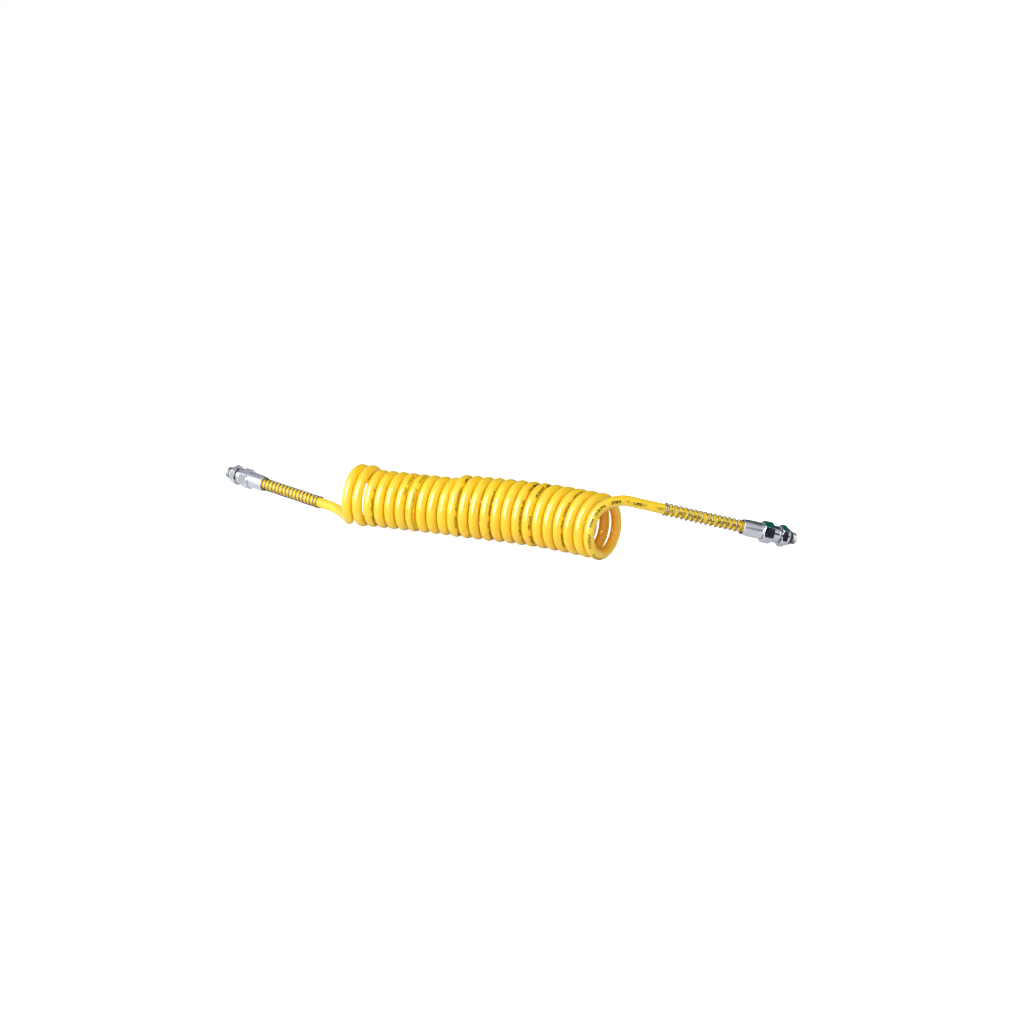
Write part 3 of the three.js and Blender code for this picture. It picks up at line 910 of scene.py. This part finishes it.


# Hose finish: clear yellow plastic, glossy, with a worn brown printed line and painted shade, a deeper
# orange, on the sides facing into the coil
hoseFinish = {
    "yellow": (0.91, 0.61, 0.012),
    "deepYellow": (0.9, 0.55, 0.01),
    # painted shade: the deeper orange of the sides facing into the coil
    "innerShadeYellow": (0.88, 0.4, 0.008),
    "ink": (0.025, 0.012, 0.002),
    "roughness": (0.3, 0.4),
    "inkRoughness": 0.3,        # what the ink adds
    "specular": 0.1,
    "coatRoughness": 0.24,
    "coatIor": 1.65,
    "softness": 0.25,           # how much light goes through the plastic, how deep, in which colours
    "softDepth": 0.005,
    "softTint": (1.0, 0.35, 0.04),
    "cloudScale": 22.0,
    "grainScale": 1400.0,
    "grainBump": (0.05, 0.0002),
    "printWidth": 0.1,          # share of the way round the hose
    "stroke": 0.0013,           # metres
    "strokesAround": 20,
    "strokeCut": (0.4, 0.43),   # between these the noise turns from bare to inked
    "groupLength": 0.012,       # metres
    "groupCut": (0.37, 0.39),
    "inkWear": 0.12,
}


def makeHoseMaterial():
    look = hoseFinish
    material, tree, shader = newMaterial("yellowHose", {
        "Specular IOR Level": look["specular"], "Coat Roughness": look["coatRoughness"],
        "Coat IOR": look["coatIor"], "Subsurface Weight": look["softness"],
        "Subsurface Scale": look["softDepth"], "Subsurface Radius": look["softTint"]})
    links = tree.links
    coords = tree.nodes.new("ShaderNodeTexCoord")
    uv = tree.nodes.new("ShaderNodeUVMap")
    grain = placeGroup(tree, grainGroup, coords.outputs["Object"], {
        "Cloud Scale": look["cloudScale"], "Grain Scale": look["grainScale"]})
    parts = tree.nodes.new("ShaderNodeSeparateXYZ")
    links.new(uv.outputs["UV"], parts.inputs["Vector"])
    fromLine = mathOf(tree, "ABSOLUTE", mathOf(tree, "SUBTRACT", parts.outputs["X"], 0.5))
    band = rangeOf(tree, fromLine, 1.0, 0.0, look["printWidth"] * 0.4, look["printWidth"] * 0.5)
    # uneven strokes inside the band, in groups, faded where the ink has rubbed off
    place = tree.nodes.new("ShaderNodeCombineXYZ")
    links.new(mathOf(tree, "MULTIPLY", parts.outputs["X"], look["strokesAround"]), place.inputs["X"])
    links.new(mathOf(tree, "MULTIPLY", parts.outputs["Y"], 1 / look["stroke"]), place.inputs["Y"])
    strokes = addNode(tree, "ShaderNodeTexNoise", {"Scale": 1.0, "Detail": 0.0}, noise_dimensions="2D")
    links.new(place.outputs["Vector"], strokes.inputs["Vector"])
    groups = addNode(tree, "ShaderNodeTexNoise", {"Scale": 1 / look["groupLength"], "Detail": 0.0},
                     noise_dimensions="1D")
    links.new(parts.outputs["Y"], groups.inputs["W"])
    marked = mathOf(tree, "MULTIPLY", rangeOf(tree, strokes.outputs["Fac"], 0.0, 1.0, *look["strokeCut"]),
                    rangeOf(tree, groups.outputs["Fac"], 0.0, 1.0, *look["groupCut"]))
    inked = addNode(tree, "ShaderNodeAttribute", attribute_name="inked")
    wear = rangeOf(tree, grain.outputs["Grain"], 1.0 - look["inkWear"], 1.0, 0.4, 0.6)
    mark = mathOf(tree, "MULTIPLY", mathOf(tree, "MULTIPLY", band, marked),
                  mathOf(tree, "MULTIPLY", inked.outputs["Fac"], wear))
    plastic = mixColours(tree, rangeOf(tree, grain.outputs["Cloud"], 0.0, 1.0, 0.35, 0.65),
                         look["yellow"], look["deepYellow"])
    # painted shade: the sides facing into the coil turn a deeper orange
    innerShade = addNode(tree, "ShaderNodeAttribute", attribute_name="innerShade")
    plastic = mixColours(tree, innerShade.outputs["Fac"], plastic, look["innerShadeYellow"])
    links.new(mixColours(tree, mark, plastic, look["ink"]), shader.inputs["Base Color"])
    low, high = look["roughness"]
    rough = rangeOf(tree, grain.outputs["Cloud"], low, high, 0.3, 0.7)
    inkRough = mathOf(tree, "MULTIPLY", mark, look["inkRoughness"])
    links.new(mathOf(tree, "ADD", rough, inkRough), shader.inputs["Roughness"])
    links.new(mathOf(tree, "SUBTRACT", 1.0, mark), shader.inputs["Coat Weight"])
    addBump(tree, shader, grain.outputs["Grain"], *look["grainBump"])
    return material


hosePiece.data.materials.append(makeHoseMaterial())


# Metal finishes: colour, the shade in the turning marks, and how dense and deep the marks are
metalFinish = {
    "platedZinc": {
        "colour": (0.72, 0.73, 0.77),
        "shade": (0.55, 0.57, 0.62),
        "roughness": (0.06, 0.13),
        "lines": 3500.0,
        "depth": 0.00001,
    },
    "satinZinc": {
        "colour": (0.72, 0.73, 0.77),
        "shade": (0.55, 0.57, 0.62),
        "roughness": (0.27, 0.36),
        "lines": 120.0,
        "depth": 0.00005,
        "streaks": 70.0,
    },
    "threadZinc": {
        "colour": (0.5, 0.5, 0.53),
        "shade": (0.3, 0.3, 0.33),
        "roughness": (0.3, 0.4),
        "lines": 1200.0,
        "depth": 0.00002,
    },
    "springSteel": {
        "colour": (0.28, 0.24, 0.2),
        "shade": (0.13, 0.11, 0.095),
        "roughness": (0.16, 0.3),
        "lines": 900.0,
        "depth": 0.00003,
    },
    "turnedBrass": {
        "colour": (0.72, 0.5, 0.2),
        "shade": (0.5, 0.33, 0.12),
        "roughness": (0.2, 0.35),
        "lines": 3500.0,
        "depth": 0.00004,
    },
}


# What all the metals share
metalSurface = {
    "cloudScale": 110.0,
    "grainScale": 2500.0,
    "scuffScale": 160.0,
    "scuffAmount": 0.8,
    "scuffRoughness": 0.3,
    "scuffDepth": 0.5,
    "bump": 0.25,
}


def makeTurnedMetal(name, colour, shade, roughness, lines, depth, streaks=6.0):
    look = metalSurface
    material, tree, shader = newMaterial(name, {"Metallic": 1.0})
    links = tree.links
    coords = tree.nodes.new("ShaderNodeTexCoord")
    uv = tree.nodes.new("ShaderNodeUVMap")
    grain = placeGroup(tree, grainGroup, coords.outputs["Object"], {
        "Cloud Scale": look["cloudScale"], "Grain Scale": look["grainScale"]})
    turning = placeGroup(tree, turningGroup, uv.outputs["UV"], {"Lines": lines, "Streaks": streaks})
    scuffs = placeGroup(tree, scuffGroup, coords.outputs["Object"], {
        "Scale": look["scuffScale"], "Amount": look["scuffAmount"]})
    tone = mathOf(tree, "MULTIPLY", turning.outputs["Tone"],
                  rangeOf(tree, grain.outputs["Cloud"], 0.2, 1.0, 0.35, 0.65))
    links.new(mixColours(tree, tone, colour, shade), shader.inputs["Base Color"])
    low, high = roughness
    rough = rangeOf(tree, grain.outputs["Cloud"], low, high, 0.35, 0.65)
    rubbed = mathOf(tree, "MULTIPLY", scuffs.outputs["Mask"], look["scuffRoughness"])
    links.new(mathOf(tree, "ADD", rough, rubbed), shader.inputs["Roughness"])
    cut = mathOf(tree, "MULTIPLY", scuffs.outputs["Mask"], look["scuffDepth"])
    height = mathOf(tree, "SUBTRACT", turning.outputs["Height"], cut)
    addBump(tree, shader, height, look["bump"], depth)
    return material


metals = {name: makeTurnedMetal(name, **look) for name, look in metalFinish.items()}


# Rubber and grip plastic
mouldedFinish = {
    "blackRubber": {
        "colour": (0.012, 0.012, 0.013),
        "shade": (0.03, 0.03, 0.032),
        "roughness": (0.4, 0.6),
        "grainScale": 2200.0,
        "depth": 0.00005,
    },
    "gripPlastic": {
        "colour": (0.75, 0.72, 0.66),
        "shade": (0.66, 0.63, 0.56),
        "roughness": (0.35, 0.5),
        "grainScale": 1800.0,
        "depth": 0.00004,
    },
}


# What both share
mouldedSurface = {
    "specular": 0.3,
    "cloudScale": 150.0,
    "scuffScale": 220.0,
    "scuffAmount": 0.6,
    "scuffPolish": 0.15,
    "bump": 0.3,
}


def makeMoulded(name, colour, shade, roughness, grainScale, depth):
    look = mouldedSurface
    material, tree, shader = newMaterial(name, {"Specular IOR Level": look["specular"]})
    links = tree.links
    coords = tree.nodes.new("ShaderNodeTexCoord")
    grain = placeGroup(tree, grainGroup, coords.outputs["Object"], {
        "Cloud Scale": look["cloudScale"], "Grain Scale": grainScale})
    scuffs = placeGroup(tree, scuffGroup, coords.outputs["Object"], {
        "Scale": look["scuffScale"], "Amount": look["scuffAmount"]})
    cloudy = rangeOf(tree, grain.outputs["Cloud"], 0.0, 1.0, 0.35, 0.65)
    links.new(mixColours(tree, cloudy, colour, shade), shader.inputs["Base Color"])
    low, high = roughness
    rough = rangeOf(tree, grain.outputs["Grain"], low, high, 0.3, 0.7)
    polished = mathOf(tree, "MULTIPLY", scuffs.outputs["Mask"], look["scuffPolish"])
    links.new(mathOf(tree, "SUBTRACT", rough, polished), shader.inputs["Roughness"])
    addBump(tree, shader, grain.outputs["Grain"], look["bump"], depth)
    return material


moulded = {name: makeMoulded(name, **look) for name, look in mouldedFinish.items()}


# The thread is duller than the rest of its stem
def dullThread(stem, end):
    stem.data.materials.append(metals["threadZinc"])
    start = onAxis(end, fitting["threadAt"])
    forward = endAxes(end)[2]
    for face in stem.data.polygons:
        if np.dot(np.array(face.center) - start, forward) > 0:
            face.material_index = 1


for piece in platedPieces:
    satin = piece.name.startswith("clamp_sleeve")
    piece.data.materials.append(metals["satinZinc" if satin else "platedZinc"])
for side, end in ends.items():
    dullThread(bpy.data.objects["threaded_stem_" + side], end)
for piece in springs.values():
    piece.data.materials.append(metals["springSteel"])
for piece in portRings:
    piece.data.materials.append(moulded["blackRubber"])

# The pieces inside the fittings are the CAD nodes themselves
nodeFinishes = {
    "tube_insert": metals["turnedBrass"],
    "grip_ring": moulded["gripPlastic"],
    "hose_seal": moulded["blackRubber"],
    "swivel_seal": moulded["blackRubber"],
    "snap_ring": metals["springSteel"],
}
for name, material in nodeFinishes.items():
    for side in ends:
        node = frame["nodes"][name + "_" + side]
        node.data.materials.clear()
        node.data.materials.append(material)
print("finishes made")


# Floor, surroundings and lights
studio = {
    "floor": (0.74, 0.74, 0.75),
    "floorShade": 0.985,        # how dark its clouds are against it
    "floorGlow": 0.9,           # what the eye sees of the floor beyond its lit colour
    "floorRadius": 8,
    "floorSides": 64,
    "floorDrop": 0.0002,
    "around": 0.4,              # brightness of the room above the floor's edge
    "below": 0.6,               # and below it
    # parts of the room that the metal mirrors: direction, half angle, softness, brightness
    "panels": (
        ((-0.1, 0.85, 0.4), 60, 20, (0.03, 0.03, 0.035)),
        ((0.1, -0.15, 1.0), 34, 20, (0.7, 0.7, 0.71)),
        ((0.8, -0.45, 0.35), 46, 20, (0.8, 0.81, 0.85)),
        ((-0.92, -0.35, 0.2), 42, 20, (0.78, 0.79, 0.83)),
        ((-0.5, 0.58, 0.64), 25, 12, (0.5, 0.5, 0.55)),
        ((0.86, -0.5, 0.09), 20, 6, (0.012, 0.014, 0.03)),
        ((0.16, 0.84, 0.52), 11, 5, (0.008, 0.12, 0.085)),
    ),
    # softboxes round the object, which its gloss mirrors, all aimed at its middle
    "softboxes": {
        "key": {"place": (-0.48, -1.19, 0.8), "size": (0.8, 1.75), "power": 10},
        "sheen": {"place": (-0.47, -1.17, 0.72), "size": (1.0, 1.6), "power": 58, "glossOnly": True},
        "wash": {"place": (-1.2, -0.35, 0.5), "size": (0.9, 0.9), "power": 2.4},
        "top": {"place": (0.1, -0.5, 2.4), "size": (2.2, 2.2), "power": 9},
    },
    # even light from far off, the same along the whole hose when it is stretched: where from, strength
    "fills": {
        "keyFill": ((-0.48, -1.19, 0.8), 0.75),
        "frontFill": ((0.75, -1.9, 0.9), 0.52),
        "backFill": ((0.35, 1.8, 0.75), 1.3),
    },
    "fillSoftness": 45,         # degrees
    "aim": (0, 0, 0.03),
}


def makeFloor():
    radius = studio["floorRadius"]
    sides = studio["floorSides"]
    angles = [2 * math.pi * side / sides for side in range(sides)]
    rim = [(radius * math.cos(angle), radius * math.sin(angle), 0) for angle in angles]
    mesh = bpy.data.meshes.new("floor")
    mesh.from_pydata(rim, [], [tuple(range(sides))])
    floor = bpy.data.objects.new("floor", mesh)
    floor.location.z = -studio["floorDrop"]
    scene.collection.objects.link(floor)
    material, tree, shader = newMaterial("palePaper", {"Roughness": 0.9, "Specular IOR Level": 0.1})
    coords = tree.nodes.new("ShaderNodeTexCoord")
    grain = placeGroup(tree, grainGroup, coords.outputs["Object"], {
        "Cloud Scale": 3.0, "Grain Scale": 400.0})
    pale = studio["floor"]
    shade = tuple(part * studio["floorShade"] for part in pale)
    colour = mixColours(tree, grain.outputs["Cloud"], pale, shade)
    tree.links.new(colour, shader.inputs["Base Color"])
    shader.inputs["Emission Color"].default_value = (1.0, 1.0, 1.0, 1.0)
    seen = tree.nodes.new("ShaderNodeLightPath")
    tree.links.new(mathOf(tree, "MULTIPLY", seen.outputs["Is Camera Ray"], studio["floorGlow"]),
                   shader.inputs["Emission Strength"])
    mesh.materials.append(material)


# The room is plain white to the eye; what the object mirrors has brighter and darker panels
def makeWorld():
    world = bpy.data.worlds.new("studio")
    scene.world = world
    world.use_nodes = True
    tree = world.node_tree
    tree.nodes.clear()
    links = tree.links
    output = tree.nodes.new("ShaderNodeOutputWorld")
    background = tree.nodes.new("ShaderNodeBackground")
    links.new(background.outputs["Background"], output.inputs["Surface"])
    coords = tree.nodes.new("ShaderNodeTexCoord")
    parts = tree.nodes.new("ShaderNodeSeparateXYZ")
    links.new(coords.outputs["Generated"], parts.inputs["Vector"])
    below = rangeOf(tree, parts.outputs["Z"], 1.0, 0.0, -0.02, 0.03)
    colour = (studio["around"],) * 3
    for towards, half, soft, shade in studio["panels"]:
        facing = addNode(tree, "ShaderNodeVectorMath", operation="DOT_PRODUCT")
        links.new(coords.outputs["Generated"], facing.inputs[0])
        facing.inputs[1].default_value = Vector(towards).normalized()
        mask = rangeOf(tree, facing.outputs["Value"], 0.0, 1.0,
                       math.cos(math.radians(half)), math.cos(math.radians(half - soft)))
        colour = mixColours(tree, mask, colour, shade)
    colour = mixColours(tree, below, colour, (studio["below"],) * 3)
    seen = tree.nodes.new("ShaderNodeLightPath")
    room = mixColours(tree, seen.outputs["Is Camera Ray"], colour, (1.0, 1.0, 1.0))
    links.new(room, background.inputs["Color"])


# A lamp that shines at the object and that the eye doesn't see
def addLamp(name, kind, place):
    light = bpy.data.lights.new(name, kind)
    lamp = bpy.data.objects.new(name, light)
    lamp.location = Vector(place)
    aim = Vector(studio["aim"]) - lamp.location
    lamp.rotation_euler = aim.to_track_quat("-Z", "Y").to_euler()
    lamp.visible_camera = False
    scene.collection.objects.link(lamp)
    return lamp, light


def makeSoftbox(name, box):
    lamp, light = addLamp(name, "AREA", box["place"])
    light.shape = "RECTANGLE"
    light.size, light.size_y = box["size"]
    light.energy = box["power"]
    lamp.visible_diffuse = not box.get("glossOnly", False)


def makeFill(name, place, strength):
    lamp, light = addLamp(name, "SUN", place)
    light.energy = strength
    light.angle = math.radians(studio["fillSoftness"])
    lamp.visible_glossy = False


makeFloor()
makeWorld()
for name, box in studio["softboxes"].items():
    makeSoftbox(name, box)
for name, (place, strength) in studio["fills"].items():
    makeFill(name, place, strength)
scene.view_settings.view_transform = "Standard"
print("studio made")
